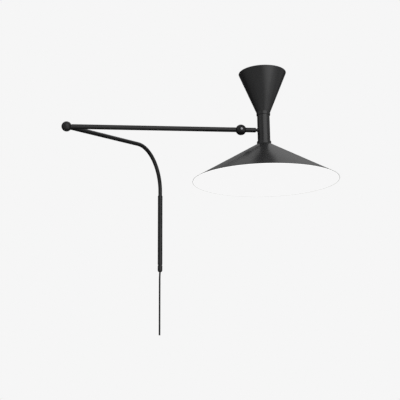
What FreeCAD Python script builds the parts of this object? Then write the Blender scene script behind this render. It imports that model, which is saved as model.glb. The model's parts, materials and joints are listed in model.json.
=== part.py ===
"""Swing arm wall light: a wall rail and swivel sleeve, a bent tube, a level arm between two ball
joints, and a head with a wide lower shade and a narrow upper shade.

Frame: millimetres, +Z up. The origin is the centre of the rail's back face, the wall is the plane
y = 0, and the light stands out from it towards -Y.
"""
import FreeCAD
import Part
import math
import os
import Sketcher

from FreeCAD import Placement, Rotation, Vector

# ---------------------------------------------------------------- driving dimensions
SIZES = {
    # wall rail, a U channel open towards the sleeve
    "rail_width": 16.0,
    "rail_depth": 10.0,
    "rail_height": 220.0,
    "rail_wall": 1.6,
    "wall_screw_radius": 2.25,
    "wall_screw_spacing": 180.0,
    # swivel sleeve and what closes its ends
    "stand_off": 24.0,
    "sleeve_radius": 9.1,
    "sleeve_bore": 7.6,
    "sleeve_top": 134.5,
    "sleeve_bottom": -121.5,
    "lug_width": 12.6,
    "lug_height": 30.0,
    "lug_level": 70.0,
    "lug_back": 4.0,
    "lock_screw_radius": 2.0,
    "lock_screw_depth": 7.0,
    "lock_screw_tip": 3.0,
    "lock_socket_radius": 1.0,
    "lock_socket_depth": 2.0,
    "fitting_radius": 9.2,
    "collar_top": 149.5,
    "collar_chamfer": 0.8,
    "cap_lip": 0.2,
    "cap_top": -125.0,
    "cap_bottom": -149.5,
    "cap_round_height": 8.0,
    "grip_foot": 4.4,
    "grip_top": 6.2,
    "cap_neck_top": -114.0,
    # supply cord
    "cord_radius": 3.25,
    "cord_end": -389.5,
    # swivel spindle
    "spindle_radius": 5.0,
    "spindle_bore": 3.5,
    "spindle_bottom": -112.0,
    "bush_length": 24.0,
    "lower_bush_top": -72.0,
    "running_gap": 0.05,
    "washer": 1.2,
    "washer_radius": 8.2,
    "spindle_ring_radius": 7.0,
    "spindle_ring_height": 3.0,
    "spindle_ring_gap": 0.2,
    # bent tube
    "bent_heading": -119.6,
    "bent_radius": 7.4,
    "bent_bore": 5.0,
    "bend_radius": 152.0,
    "slope": 7.0,
    "run": 447.5,
    # level arm
    "arm_level": 264.0,
    "arm_heading": 3.2,
    "arm_length": 568.0,
    "arm_radius": 7.75,
    "arm_bore": 5.75,
    # ball joints
    "elbow_radius": 16.5,
    "knuckle_radius": 17.5,
    "ball_gap": 0.6,
    "ball_clearance": 0.4,
    "pivot_radius": 3.0,
    "boss_radius": 7.0,
    "groove_radius": 12.0,
    "groove_depth": 6.5,
    "pocket_radius": 6.3,
    "pocket_floor": 8.5,
    "head_radius": 5.0,
    "head_floor": 10.5,
    "head_clearance": 0.3,
    "head_set_back": 1.4,
    "head_chamfer": 0.5,
    "key_radius": 1.6,
    "key_depth": 2.0,
    "tip_chamfer": 0.4,
    "spring_height": 1.2,
    "pivot_spring_radius": 5.4,
    "pivot_nut_radius": 5.75,
    "pivot_nut_height": 4.0,
    "cover_depth": 6.4,
    "notch_radius": 3.0,
    "notch_level": 3.9,
    "notch_start": 10.5,
    "collar_length": 3.0,
    "spigot_length": 24.0,
    "lead_radius": 2.5,
    # stem and swivel pin between the knuckle and the head
    "stem_end": 50.0,
    "stem_chamfer": 2.0,
    "pin_radius": 4.4,
    "pin_bore": 2.6,
    "pin_grip": 16.0,
    "swivel_spring_radius": 7.6,
    "swivel_nut_radius": 8.0,
    "swivel_nut_height": 4.5,
    "rosette_radius": 6.3,
    "rosette_back": 22.0,
    "saddle_radius": 8.0,
    "saddle_depth": 5.0,
    "saddle_face": 14.5,
    "head_offset": 75.5,
    # head: heights are measured from the level arm's axis
    "neck_radius": 20.4,
    "neck_bore": 17.8,
    "neck_bottom": -38.5,
    "neck_top": 50.5,
    "sheet": 1.0,
    "upper_foot_radius": 22.4,
    "upper_foot_top": 60.5,
    "upper_rim_radius": 78.3,
    "upper_rim_level": 197.0,
    "lower_foot_radius": 23.2,
    "lower_foot_bottom": -47.8,
    "lower_rim_radius": 235.0,
    "lower_rim_level": -172.0,
    "thread_radius": 16.5,
    "ring_radius": 20.8,
    "ring_height": 4.5,
    "bush_depth": 8.5,
    "fit_gap": 0.1,
    # lamp block, lamp holders and lamps
    "nipple_radius": 5.0,
    "nipple_bore": 3.2,
    "nipple_start": 1.5,
    "block_height": 12.0,
    "block_length": 24.0,
    "block_width": 14.0,
    "block_back": 5.0,
    "hub_screw_radius": 2.0,
    "hub_hole_start": 7.0,
    "hub_screw_tip": 7.5,
    "hub_screw_seat": 17.3,
    "hub_seat_radius": 4.2,
    "hub_head_radius": 3.8,
    "hub_head_end": 19.9,
    "hub_head_chamfer": 0.7,
    "hub_key_radius": 1.25,
    "hub_key_depth": 1.7,
    "holder_radius": 13.5,
    "holder_back": 11.0,
    "holder_front": 45.0,
    "holder_floor": 4.0,
    "holder_cavity": 8.0,
    "holder_chamfer": 2.0,
    "upper_lamp_lift": 10.0,
    "lamp_cap_radius": 6.9,
    "lamp_cap_foot": 3.0,
    "lamp_cap_gap": 0.3,
    "lamp_throat": 10.5,
    "lamp_centre": 75.0,
    "lamp_radius": 22.5,
}


class Size:
    """A number together with the expression that works it out from the sheet."""

    def __init__(self, value, text):
        self.value = value
        self.text = text

    def __add__(self, other):
        other = as_size(other)
        return Size(self.value + other.value, f"({self.text} + {other.text})")

    def __sub__(self, other):
        other = as_size(other)
        return Size(self.value - other.value, f"({self.text} - {other.text})")

    def __mul__(self, other):
        other = as_size(other)
        return Size(self.value * other.value, f"({self.text} * {other.text})")

    def __truediv__(self, other):
        other = as_size(other)
        return Size(self.value / other.value, f"({self.text} / {other.text})")

    def __radd__(self, other):
        return as_size(other) + self

    def __rsub__(self, other):
        return as_size(other) - self

    def __rmul__(self, other):
        return as_size(other) * self

    def __neg__(self):
        return self * -1.0


def as_size(number):
    if isinstance(number, Size):
        return number
    return Size(float(number), repr(float(number)))


def value_of(number):
    return as_size(number).value


def sine(angle):
    return Size(math.sin(math.radians(angle.value)), f"sin({angle.text})")


def cosine(angle):
    return Size(math.cos(math.radians(angle.value)), f"cos({angle.text})")


def root(number):
    return Size(math.sqrt(number.value), f"sqrt({number.text})")


# ---------------------------------------------------------------- document and sheet
doc = FreeCAD.newDocument("WallLight")
sheet = doc.addObject("Spreadsheet::Sheet", "Sizes")
for row, (name, number) in enumerate(SIZES.items(), start=1):
    sheet.set(f"A{row}", name)
    sheet.set(f"B{row}", str(number))
    sheet.setAlias(f"B{row}", name)
doc.recompute()

parts = []


def size(name):
    return Size(SIZES[name], f"Sizes.{name}")


def bind(thing, path, number):
    """Sets a property from a size, by expression where the size comes from the sheet."""
    number = as_size(number)
    setattr(thing, path, number.value)
    if "Sizes." in number.text:
        thing.setExpression(path, number.text)


class Frame:
    """A level frame: its origin, and the heading of its x axis about +Z."""

    def __init__(self, x, y, z, heading):
        self.x = as_size(x)
        self.y = as_size(y)
        self.z = as_size(z)
        self.heading = as_size(heading)

    def along(self, distance):
        """The same frame moved along its own x axis."""
        return Frame(
            self.x + cosine(self.heading) * distance,
            self.y + sine(self.heading) * distance,
            self.z,
            self.heading,
        )

    def put(self, thing, turn=None, along=0.0, up=0.0):
        """Places an object in the frame, turned in it and moved along x and up."""
        spot = self.along(along)
        turn = turn or Rotation()
        heading = Rotation(Vector(0, 0, 1), self.heading.value)
        height = spot.z + up
        base = Vector(spot.x.value, spot.y.value, height.value)
        thing.Placement = Placement(base, heading * turn)
        for axis, number in (("x", spot.x), ("y", spot.y), ("z", height)):
            if "Sizes." in number.text:
                thing.setExpression(f"Placement.Base.{axis}", number.text)


# Turns that point a piece's own +Z along or across the frame that it is placed in.
ALONG_X = Rotation(Vector(0, 1, 0), 90)
AGAINST_X = Rotation(Vector(0, 1, 0), -90)
UPSIDE_DOWN = Rotation(Vector(1, 0, 0), 180)
TO_FRONT = Rotation(Vector(1, 0, 0), 90)
TO_REAR = Rotation(Vector(0, 0, 1), 180) * TO_FRONT


# ---------------------------------------------------------------- sketch and feature helpers
def new_body(label, frame, turn=None, along=0.0, up=0.0):
    body = doc.addObject("PartDesign::Body", label)
    body.Label = label
    frame.put(body, turn, along, up)
    parts.append(body)
    return body


def new_sketch(body, plane, name):
    sketch = body.newObject("Sketcher::SketchObject", f"{body.Name}_{name}")
    origin_plane = [f for f in body.Origin.OriginFeatures if f.Role == plane][0]
    sketch.AttachmentSupport = [(origin_plane, "")]
    sketch.MapMode = "FlatFace"
    return sketch


def constrain(sketch, kind, *arguments):
    """Adds a dimension; the last argument is its size."""
    number = as_size(arguments[-1])
    index = sketch.addConstraint(Sketcher.Constraint(kind, *arguments[:-1], number.value))
    if "Sizes." in number.text:
        sketch.setExpression(f"Constraints[{index}]", number.text)


def pin_point(sketch, element, end, x, y):
    """Fixes a point of an element at x, y from the sketch's origin."""
    for kind, axis, number in (("DistanceX", -2, x), ("DistanceY", -1, y)):
        if value_of(number) == 0.0:
            sketch.addConstraint(Sketcher.Constraint("PointOnObject", element, end, axis))
        else:
            constrain(sketch, kind, -1, 1, element, end, number)


def arc_between(start, end, radius):
    """An arc from start to end: anticlockwise for a positive radius, clockwise for a negative."""
    chord = end - start
    half = chord.Length / 2
    side = Vector(-chord.y, chord.x, 0).normalize()
    rise = math.sqrt(max(radius * radius - half * half, 0.0))
    centre = (start + end) / 2 + side * math.copysign(rise, radius)
    circle = Part.Circle(centre, Vector(0, 0, 1), abs(radius))
    first, last = (start, end) if radius > 0 else (end, start)
    angles = [math.atan2(p.y - centre.y, p.x - centre.x) for p in (first, last)]
    return Part.ArcOfCircle(circle, angles[0], angles[1])


def draw_outline(sketch, corners):
    """Draws a closed outline; a corner (x, y, radius) is reached by an arc, (x, y) by a line."""
    edges = []
    for index, corner in enumerate(corners):
        before = corners[index - 1]
        start = Vector(value_of(before[0]), value_of(before[1]), 0)
        end = Vector(value_of(corner[0]), value_of(corner[1]), 0)
        if len(corner) == 3:
            radius = value_of(corner[2])
            element = sketch.addGeometry(arc_between(start, end, radius))
            constrain(sketch, "Radius", element, corner[2] if radius > 0 else -as_size(corner[2]))
            edges.append((element, 1, 2) if radius > 0 else (element, 2, 1))
        else:
            edges.append((sketch.addGeometry(Part.LineSegment(start, end)), 1, 2))
    for index, (element, _, last) in enumerate(edges):
        after, first, _ = edges[(index + 1) % len(edges)]
        sketch.addConstraint(Sketcher.Constraint("Coincident", element, last, after, first))
        pin_point(sketch, element, last, corners[index][0], corners[index][1])


def draw_circle(sketch, x, y, radius):
    circle = Part.Circle(Vector(value_of(x), value_of(y), 0), Vector(0, 0, 1), value_of(radius))
    element = sketch.addGeometry(circle)
    pin_point(sketch, element, 3, x, y)
    constrain(sketch, "Radius", element, radius)


def pad(body, sketch, length, middle=False):
    feature = body.newObject("PartDesign::Pad", f"{sketch.Name}_pad")
    feature.Profile = sketch
    bind(feature, "Length", length)
    feature.Midplane = middle
    doc.recompute()
    return feature


def cut_through(body, sketch):
    """Cuts a sketch through the whole body, both ways, and tests that it removed something."""
    before = body.Shape.Volume
    feature = body.newObject("PartDesign::Pocket", f"{sketch.Name}_cut")
    feature.Profile = sketch
    feature.Type = "ThroughAll"
    feature.Midplane = True
    doc.recompute()
    if body.Shape.Volume > before - 1e-3:
        raise RuntimeError(f"{sketch.Name} cuts nothing")
    return feature


def turned(label, frame, corners, turn=None, along=0.0, up=0.0):
    """A turned piece: corners are (radius, height) about its own +Z axis."""
    body = new_body(label, frame, turn, along, up)
    sketch = new_sketch(body, "XZ_Plane", "profile")
    draw_outline(sketch, corners)
    feature = body.newObject("PartDesign::Revolution", f"{label}_turn")
    feature.Profile = sketch
    feature.ReferenceAxis = (sketch, ["V_Axis"])
    feature.Angle = 360.0
    return body


def ring(label, frame, bore, radius, bottom, top, turn=None, along=0.0):
    """A plain ring, or a disc where the bore is nothing."""
    corners = [(bore, bottom), (radius, bottom), (radius, top), (bore, top)]
    return turned(label, frame, corners, turn, along)


def hexagon_nut(label, frame, bore, corner_radius, bottom, thickness, turn=None, along=0.0):
    """A hexagon nut whose lower face is at the height bottom on its own axis."""
    body = new_body(label, frame, turn, along)
    sketch = new_sketch(body, "XY_Plane", "hexagon")
    angles = [math.radians(60 * side) for side in range(6)]
    corners = [(corner_radius * math.cos(a), corner_radius * math.sin(a)) for a in angles]
    draw_outline(sketch, corners)
    draw_circle(sketch, 0, 0, bore)
    sketch.AttachmentOffset = Placement(Vector(0, 0, value_of(bottom)), Rotation())
    pad(body, sketch, thickness)
    return body


# Part-workbench helpers for the ball halves, saddles and other pieces made by cutting.
def cylinder(name, radius, length, start=Vector(), turn=Rotation()):
    """A cylinder that starts at start and runs along the turned +Z."""
    solid = doc.addObject("Part::Cylinder", name)
    bind(solid, "Radius", radius)
    bind(solid, "Height", length)
    solid.Placement = Placement(start, turn)
    return solid


def joined(name, *solids):
    fuse = doc.addObject("Part::MultiFuse", name)
    fuse.Shapes = list(solids)
    return fuse


def without(name, base, tool):
    cut = doc.addObject("Part::Cut", name)
    cut.Base = base
    cut.Tool = tool
    return cut


def finished(cut, label, frame, turn=None, along=0.0):
    """Gives a boolean result its label and its place, and lists it as a sub-part."""
    cut.Label = label
    frame.put(cut, turn, along)
    parts.append(cut)
    return cut


# ---------------------------------------------------------------- frames of the moving bodies
axis_frame = Frame(0, -size("stand_off"), 0, 0)
wall_frame = Frame(0, 0, 0, 0)
bent_frame = Frame(0, -size("stand_off"), 0, size("bent_heading"))

reach = size("bend_radius") * (sine(size("slope")) + 1) + size("run") * cosine(size("slope"))
drop = size("run") * sine(size("slope"))
bend_start = size("arm_level") + drop - size("bend_radius") * cosine(size("slope"))
elbow_spot = bent_frame.along(reach)
elbow_in = Frame(elbow_spot.x, elbow_spot.y, size("arm_level"), size("bent_heading") + 180)
arm_frame = Frame(elbow_spot.x, elbow_spot.y, size("arm_level"), size("arm_heading"))
knuckle_frame = arm_frame.along(size("arm_length"))
head_frame = knuckle_frame.along(size("head_offset"))


# ---------------------------------------------------------------- wall rail and swivel sleeve
def wall_rail():
    """The U channel: its web lies on the wall, its flanges take the sleeve's lugs between them."""
    body = new_body("wall_rail", wall_frame)
    half = size("rail_width") / 2
    inner = half - size("rail_wall")
    section = new_sketch(body, "XY_Plane", "section")
    draw_outline(section, [
        (-half, 0),
        (-half, -size("rail_depth")),
        (-inner, -size("rail_depth")),
        (-inner, -size("rail_wall")),
        (inner, -size("rail_wall")),
        (inner, -size("rail_depth")),
        (half, -size("rail_depth")),
        (half, 0),
    ])
    pad(body, section, size("rail_height"), middle=True)
    holes = new_sketch(body, "XZ_Plane", "wall_screw_holes")
    for side in (-1, 1):
        draw_circle(holes, 0, size("wall_screw_spacing") / 2 * side, size("wall_screw_radius"))
    cut_through(body, holes)
    threads = new_sketch(body, "YZ_Plane", "lock_screw_threads")
    for side in (-1, 1):
        draw_circle(threads, -size("lock_screw_depth"), size("lug_level") * side, size("lock_screw_radius"))
    cut_through(body, threads)


def sleeve():
    """The tube that the light turns in, with the two lugs that slide into the rail."""
    body = new_body("sleeve", axis_frame)
    wall = new_sketch(body, "XZ_Plane", "profile")
    bore, radius = size("sleeve_bore"), size("sleeve_radius")
    draw_outline(wall, [
        (0, size("sleeve_bottom")),
        (radius, size("sleeve_bottom")),
        (radius, size("sleeve_top")),
        (0, size("sleeve_top")),
    ])
    turn = body.newObject("PartDesign::Revolution", "sleeve_turn")
    turn.Profile = wall
    turn.ReferenceAxis = (wall, ["V_Axis"])
    doc.recompute()
    back = size("stand_off") - size("lug_back")
    for side, name in ((1, "upper"), (-1, "lower")):
        lug = new_sketch(body, "YZ_Plane", f"{name}_lug")
        middle = size("lug_level") * side
        low, high = middle - size("lug_height") / 2, middle + size("lug_height") / 2
        draw_outline(lug, [(1, low), (back, low), (back, high), (1, high)])
        pad(body, lug, size("lug_width"), middle=True)
    hollow = new_sketch(body, "XY_Plane", "bore")
    draw_circle(hollow, 0, 0, bore)
    cut_through(body, hollow)
    dimples = new_sketch(body, "YZ_Plane", "lock_screw_holes")
    for side in (-1, 1):
        depth = size("stand_off") - size("lock_screw_depth")
        draw_circle(dimples, depth, size("lug_level") * side, size("lock_screw_radius"))
    cut_through(body, dimples)


def lock_screws():
    """Four grub screws through the rail's flanges, which hold the lugs."""
    tip = size("lock_screw_tip")
    seat = Frame(0, -size("lock_screw_depth"), 0, 0)
    half = size("rail_width") / 2
    radius = size("lock_screw_radius")
    socket = size("lock_socket_radius")
    floor = half - size("lock_socket_depth")
    for level, height in (("upper", size("lug_level")), ("lower", -size("lug_level"))):
        for side, turn in (("left", AGAINST_X), ("right", ALONG_X)):
            corners = [
                (0, tip),
                (radius, tip),
                (radius, half),
                (socket, half),
                (socket, floor),
                (0, floor),
            ]
            turned(f"lock_screw_{level}_{side}", seat, corners, turn, up=height)


def sleeve_ends():
    """Top collar, bottom cap, cord grip and the two bushes that the spindle turns in."""
    bore = size("sleeve_bore")
    radius = size("fitting_radius")
    top = size("collar_top")
    chamfer = size("collar_chamfer")
    turned("top_collar", axis_frame, [
        (bore, size("sleeve_top")),
        (radius, size("sleeve_top")),
        (radius, top - chamfer),
        (radius - chamfer, top),
        (bore, top),
    ])
    inner = size("spindle_radius") + size("running_gap")
    ring("upper_bush", axis_frame, inner, bore, top - size("bush_length"), top)
    lower_end = size("lower_bush_top") - size("bush_length")
    ring("lower_bush", axis_frame, inner, bore, lower_end, size("lower_bush_top"))
    bottom = size("cap_bottom")
    rise = size("cap_round_height")
    grip_foot, grip_top = size("grip_foot"), size("grip_top")
    narrowing = radius - grip_foot - size("cap_lip")
    dome = (rise * rise + narrowing * narrowing) / (2 * narrowing)
    turned("bottom_cap", axis_frame, [
        (grip_foot, bottom),
        (radius - narrowing, bottom),
        (radius, bottom + rise, dome),
        (radius, size("cap_top")),
        (bore, size("cap_top")),
        (bore, size("cap_neck_top")),
        (grip_top, size("cap_neck_top")),
    ])
    turned("cord_grip", axis_frame, [
        (size("cord_radius"), bottom),
        (grip_foot, bottom),
        (grip_top, size("cap_neck_top")),
        (size("cord_radius"), size("cap_neck_top")),
    ])
    ring("cord_tail", axis_frame, 0, size("cord_radius"), bottom, size("cap_neck_top"))


def supply_cord():
    """The bare supply lead below the cap: one straight run, hanging plumb under its own weight."""
    ring("supply_cord", axis_frame, 0, size("cord_radius"), size("cord_end"), size("cap_bottom"))


# ---------------------------------------------------------------- bent tube and its spindle
def tube_path(body, start, ball_gap):
    """The centre line: straight up from start, round the bend, and down its slope to the ball."""
    path = new_sketch(body, "XZ_Plane", "path")
    radius = size("bend_radius")
    high = bend_start.value
    slope = math.radians(SIZES["slope"])
    centre = Vector(radius.value, high, 0)
    circle = Part.Circle(centre, Vector(0, 0, 1), radius.value)
    bend_end = centre + Vector(math.sin(slope), math.cos(slope), 0) * radius.value
    run = SIZES["run"] - ball_gap.value
    end = bend_end + Vector(math.cos(slope), -math.sin(slope), 0) * run
    riser = path.addGeometry(Part.LineSegment(Vector(0, value_of(start), 0), Vector(0, high, 0)))
    bend = path.addGeometry(Part.ArcOfCircle(circle, math.pi / 2 - slope, math.pi))
    slant = path.addGeometry(Part.LineSegment(bend_end, end))
    pin_point(path, riser, 1, 0, start)
    pin_point(path, riser, 2, 0, bend_start)
    path.addConstraint(Sketcher.Constraint("Tangent", riser, 2, bend, 2))
    constrain(path, "Radius", bend, radius)
    path.addConstraint(Sketcher.Constraint("Tangent", bend, 1, slant, 1))
    constrain(path, "DistanceX", -1, 1, slant, 2, reach - cosine(size("slope")) * ball_gap)
    constrain(path, "Distance", slant, size("run") - ball_gap)
    return path


def piped(label, frame, start, ball_gap, radius, bore=None):
    """A round bar or tube that follows the bent tube's centre line."""
    body = new_body(label, frame)
    path = tube_path(body, start, ball_gap)
    section = new_sketch(body, "XY_Plane", "section")
    section.AttachmentOffset = Placement(Vector(0, 0, value_of(start)), Rotation())
    draw_circle(section, 0, 0, radius)
    if bore is not None:
        draw_circle(section, 0, 0, bore)
    doc.recompute()
    pipe = body.newObject("PartDesign::AdditivePipe", f"{label}_pipe")
    pipe.Profile = section
    pipe.Spine = (path, ["Edge1", "Edge2", "Edge3"])
    doc.recompute()
    bend = math.radians(90 + SIZES["slope"]) * SIZES["bend_radius"]
    length = bend_start.value - value_of(start) + bend + SIZES["run"] - value_of(ball_gap)
    area = math.pi * (value_of(radius) ** 2 - value_of(bore or 0) ** 2)
    if abs(body.Shape.Volume / (area * length) - 1) > 0.01:
        raise RuntimeError(f"{label} has the wrong volume")


def bent_arm():
    """Thrust washer, spindle, its retaining ring, the bent tube and the lead inside."""
    top = size("collar_top")
    gap = size("running_gap")
    spindle = size("spindle_radius")
    seat = top + size("washer")
    ring("thrust_washer", bent_frame, spindle + gap, size("washer_radius"), top, seat)
    ring("swivel_spindle", bent_frame, size("spindle_bore"), spindle - 0.01,
         size("spindle_bottom"), bend_start - 1)
    below = size("lower_bush_top") - size("bush_length") - size("spindle_ring_gap")
    ring("spindle_ring", bent_frame, spindle, size("spindle_ring_radius"),
         below - size("spindle_ring_height"), below)
    ball_gap = size("elbow_radius") + size("ball_clearance") + size("collar_length")
    piped("bent_tube", bent_frame, seat, ball_gap, size("bent_radius"), size("bent_bore"))
    piped("bent_arm_lead", bent_frame, size("spindle_bottom"), ball_gap + 1, size("lead_radius"))


# ---------------------------------------------------------------- ball joints
def ball_half(label, frame, ball, tube, spigot, tilt, turn, with_head, stem_end=None):
    """Half of a ball joint, the half above its parting plane, with the boss of its tube along +X.

    The pivot runs along +Z. Inside the ball the boss is on this half only; outside it is round.
    """
    flat = size("ball_gap") / 2
    outer = ball + size("ball_clearance")
    tilted = Rotation(Vector(0, 1, 0), 90 - tilt)
    out = tilted.multVec(Vector(0, 0, 1))
    sphere = doc.addObject("Part::Sphere", f"{label}_ball")
    bind(sphere, "Radius", ball)
    level = Vector(0, 0, flat.value)
    upper = cylinder(f"{label}_upper", outer * 2, outer * 2, level)
    dome = doc.addObject("Part::Common", f"{label}_dome")
    dome.Base = sphere
    dome.Tool = upper
    boss_end = stem_end or outer + size("collar_length")
    boss_length = boss_end - 8
    boss = cylinder(f"{label}_boss", tube, boss_length, out * 8, tilted)
    if stem_end is not None:
        chamfer = doc.addObject("Part::Chamfer", f"{label}_chamfer")
        chamfer.Base = boss
        doc.recompute()
        far = max(range(len(boss.Shape.Edges)), key=lambda e: boss.Shape.Edges[e].CenterOfMass.x)
        width = SIZES["stem_chamfer"]
        chamfer.Edges = [(far + 1, width, width)]
        boss = chamfer
    swept = cylinder(f"{label}_swept", outer, outer + flat, Vector(0, 0, -outer.value))
    outside = without(f"{label}_boss_outside", boss, swept)
    solids = [dome, outside]
    if stem_end is None:
        spigot_start = out * boss_end.value
        solids.append(cylinder(f"{label}_spigot", spigot, size("spigot_length"), spigot_start, tilted))
    whole = joined(f"{label}_whole", *solids)
    groove = without(
        f"{label}_groove",
        cylinder(f"{label}_groove_outer", size("groove_radius"), size("groove_depth")),
        cylinder(f"{label}_groove_inner", size("boss_radius"), size("groove_depth")),
    )
    hole = cylinder(f"{label}_hole", size("pivot_radius") + size("running_gap"), ball)
    if with_head:
        recess_radius, floor = size("head_radius") + size("head_clearance"), size("head_floor")
    else:
        recess_radius, floor = size("pocket_radius"), size("pocket_floor")
    recess = cylinder(f"{label}_recess", recess_radius, ball, Vector(0, 0, floor.value))
    tools = [groove, hole, recess]
    lead_bore = size("notch_radius")
    notch_start = Vector(SIZES["notch_start"], 0, SIZES["notch_level"])
    reach_out = (stem_end or outer).value - 12
    if stem_end is None:
        tools.append(cylinder(f"{label}_notch", lead_bore, outer.value - 10, notch_start,
                              Rotation(Vector(0, 1, 0), 90)))
        bore_start = out * (outer.value - 2)
        tools.append(cylinder(f"{label}_bore", size("spindle_bore"), 40, bore_start, tilted))
    else:
        tools.append(cylinder(f"{label}_notch", lead_bore, reach_out - 9, notch_start,
                              Rotation(Vector(0, 1, 0), 90)))
        socket = Vector(reach_out - 4, 0, 0)
        tools.append(cylinder(f"{label}_socket", size("pin_radius"), 30, socket,
                              Rotation(Vector(0, 1, 0), 90)))
    cut = without(label, whole, joined(f"{label}_tools", *tools))
    return finished(cut, label, frame, turn)


def pivot_set(name, frame, ball, head_turn, nut_turn):
    """Screw, friction washer, spring washer, nut and cover of a ball joint."""
    shank = size("pivot_radius")
    gap = size("running_gap")
    head = size("head_radius")
    seat = size("head_floor")
    nut_seat = size("pocket_floor")
    spring = size("spring_height")
    nut = size("pivot_nut_height")
    end = -(nut_seat + spring + nut + size("ball_gap"))
    head_top = ball - size("head_set_back")
    chamfer, tip_chamfer = size("head_chamfer"), size("tip_chamfer")
    key, key_floor = size("key_radius"), head_top - size("key_depth")
    turned(f"{name}_pivot_screw", frame, [
        (0, end),
        (shank - tip_chamfer, end),
        (shank, end + tip_chamfer),
        (shank, seat),
        (head, seat),
        (head, head_top - chamfer),
        (head - chamfer, head_top),
        (key, head_top),
        (key, key_floor),
        (0, key_floor),
    ], head_turn)
    flat = size("ball_gap") / 2
    ring(f"{name}_friction_washer", frame, shank + gap, size("boss_radius"), -flat, flat, head_turn)
    ring(f"{name}_spring_washer", frame, shank + gap, size("pivot_spring_radius"), nut_seat,
         nut_seat + spring, nut_turn)
    hexagon_nut(f"{name}_nut", frame, shank + 0.01, size("pivot_nut_radius"), nut_seat + spring,
                nut, nut_turn)


def ball_cover(label, frame, ball, turn):
    """A snap-in plug that closes the nut's pocket and completes the ball."""
    edge = size("pocket_radius") - size("running_gap")
    rim = root(ball * ball - edge * edge)
    inside = size("pocket_floor") + size("cover_depth")
    return turned(label, frame, [
        (0, inside),
        (edge, inside),
        (edge, rim),
        (0, ball, ball),
    ], turn)


def elbow():
    """The vertical ball joint: its upper half holds the bent tube, its lower half the level arm."""
    ball = size("elbow_radius")
    ball_half("elbow_upper_half", elbow_in, ball, size("bent_radius"), size("bent_bore") - 0.02,
              SIZES["slope"], Rotation(), with_head=True)
    ball_half("elbow_lower_half", arm_frame, ball, size("arm_radius"), size("arm_bore") - 0.02,
              0.0, UPSIDE_DOWN, with_head=False)
    pivot_set("elbow", elbow_in, ball, Rotation(), UPSIDE_DOWN)
    ball_cover("elbow_cover", arm_frame, ball, UPSIDE_DOWN)


def knuckle():
    """The level ball joint: its rear half holds the arm, its front half carries the head's stem."""
    ball = size("knuckle_radius")
    ball_half("knuckle_rear_half", knuckle_frame, ball, size("arm_radius"), size("arm_bore") - 0.02,
              0.0, TO_REAR, with_head=False)
    ball_half("knuckle_front_half", knuckle_frame, ball, size("arm_radius"), None,
              0.0, TO_FRONT, with_head=True, stem_end=size("stem_end"))
    pivot_set("knuckle", knuckle_frame, ball, TO_FRONT, TO_REAR)
    ball_cover("knuckle_cover", knuckle_frame, ball, TO_REAR)


def level_arm():
    """The level tube between the balls and the lead inside it."""
    collar = size("ball_clearance") + size("collar_length")
    start = size("elbow_radius") + collar
    end = size("arm_length") - size("knuckle_radius") - collar
    ring("arm_tube", arm_frame, size("arm_bore"), size("arm_radius"), start, end, ALONG_X)
    ring("arm_lead", arm_frame, 0, size("lead_radius"), start + 1, end - 1, ALONG_X)


# ---------------------------------------------------------------- head
def swivel_pin():
    """The hollow pin from the stem into the neck, with its spring washer and nut."""
    inner_face = size("head_offset") - size("saddle_face")
    socket = size("stem_end") - size("pin_grip")
    pin = size("pin_radius")
    nut_seat = inner_face + size("spring_height")
    pin_end = nut_seat + size("swivel_nut_height") + size("ball_gap")
    ring("swivel_pin", knuckle_frame, size("pin_bore"), pin - 0.01, socket, pin_end, ALONG_X)
    ring("swivel_spring_washer", knuckle_frame, pin + size("running_gap"),
         size("swivel_spring_radius"), inner_face, nut_seat, ALONG_X)
    hexagon_nut("swivel_nut", knuckle_frame, pin, size("swivel_nut_radius"), nut_seat,
                size("swivel_nut_height"), ALONG_X)


def neck():
    """The neck tube with its pin hole and screw hole, and the saddles each side of the wall."""
    low, high = size("neck_bottom"), size("neck_top")
    outer_radius, bore = size("neck_radius"), size("neck_bore")
    pin_hole = size("pin_radius") + size("running_gap")
    base = Vector(0, 0, low.value)
    outer = cylinder("neck_outer", outer_radius, high - low, base)
    inner = cylinder("neck_inner", bore, high - low, base)
    hole = cylinder("neck_pin_hole", pin_hole, 30, Vector(), AGAINST_X)
    screw_hole = cylinder("neck_screw_hole", size("hub_head_radius") + size("running_gap"), 30,
                          Vector(), ALONG_X)
    tube = without("neck_tube", outer, joined("neck_holes", inner, hole, screw_hole))
    finished(tube, "neck_tube", head_frame)

    rosette_start = Vector(-SIZES["rosette_back"], 0, 0)
    rosette = cylinder("rosette_disc", size("rosette_radius"), 5, rosette_start, ALONG_X)
    tall = Vector(0, 0, -20)
    neck_space = cylinder("rosette_seat", outer_radius + 0.02, 40, tall)
    hole = cylinder("rosette_hole", pin_hole, 30, Vector(), AGAINST_X)
    shaped = without("rosette", rosette, joined("rosette_tools", neck_space, hole))
    finished(shaped, "rosette", head_frame)

    saddle_start = Vector(-SIZES["saddle_face"] - SIZES["saddle_depth"], 0, 0)
    pad_disc = cylinder("saddle_disc", size("saddle_radius"), size("saddle_depth"), saddle_start,
                        ALONG_X)
    inside = cylinder("saddle_space", bore - 0.02, 40, tall)
    saddle = doc.addObject("Part::Common", "saddle_common")
    saddle.Base = pad_disc
    saddle.Tool = inside
    hole = cylinder("saddle_hole", pin_hole, 30, Vector(), AGAINST_X)
    finished(without("inner_saddle", saddle, hole), "inner_saddle", head_frame)


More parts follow.
